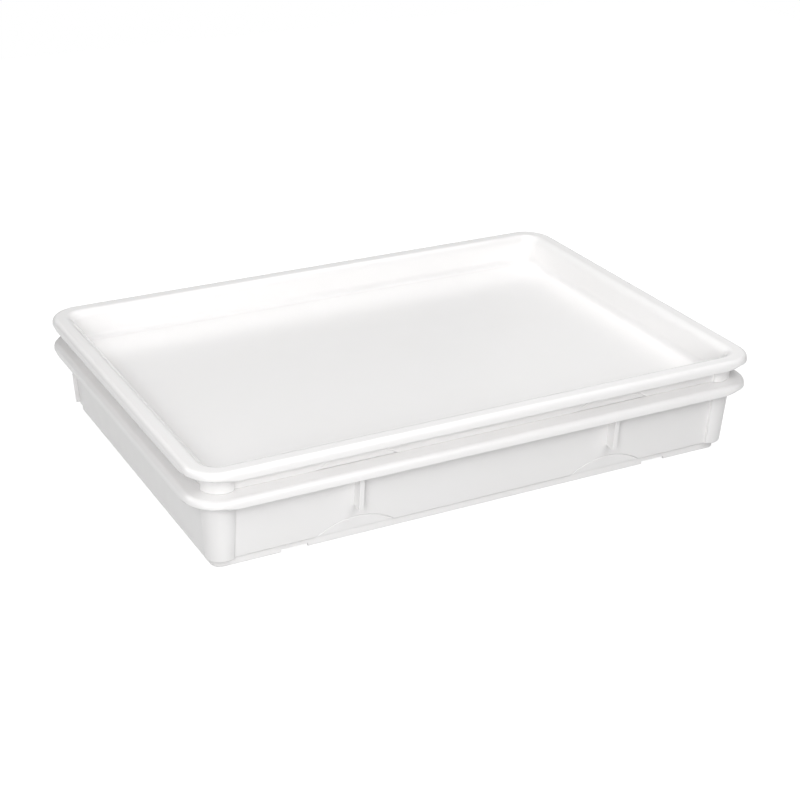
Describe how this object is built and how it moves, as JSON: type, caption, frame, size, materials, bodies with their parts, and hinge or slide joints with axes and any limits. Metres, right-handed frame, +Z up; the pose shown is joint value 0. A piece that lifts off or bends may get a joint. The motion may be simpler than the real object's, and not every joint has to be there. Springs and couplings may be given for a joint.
{
  "type": "dough proofing container",
  "caption": "Shallow rectangular dough proofing box with a flanged rim, corner posts and a foot ring, closed by a tray-shaped lift-off lid.",
  "frame": {"origin": "on the ground at the middle of the box's foot ring", "axes": "+X along the long side, +Y across it, +Z up, the way the lid lifts off"},
  "size_m": [0.66, 0.457, 0.116],
  "materials": {
    "box_moulding": "injection-moulded white polypropylene, satin",
    "lid_moulding": "injection-moulded white polypropylene, satin"
  },
  "bodies": {
    "box": {"dough_box": "box_moulding"},
    "cover": {"lid": "lid_moulding"}
  },
  "joints": [
    {"name": "lid_lift", "type": "slide", "parent": "box", "child": "cover", "axis": [0, 0, 1], "range_m": [0, 0.15]}
  ]
}
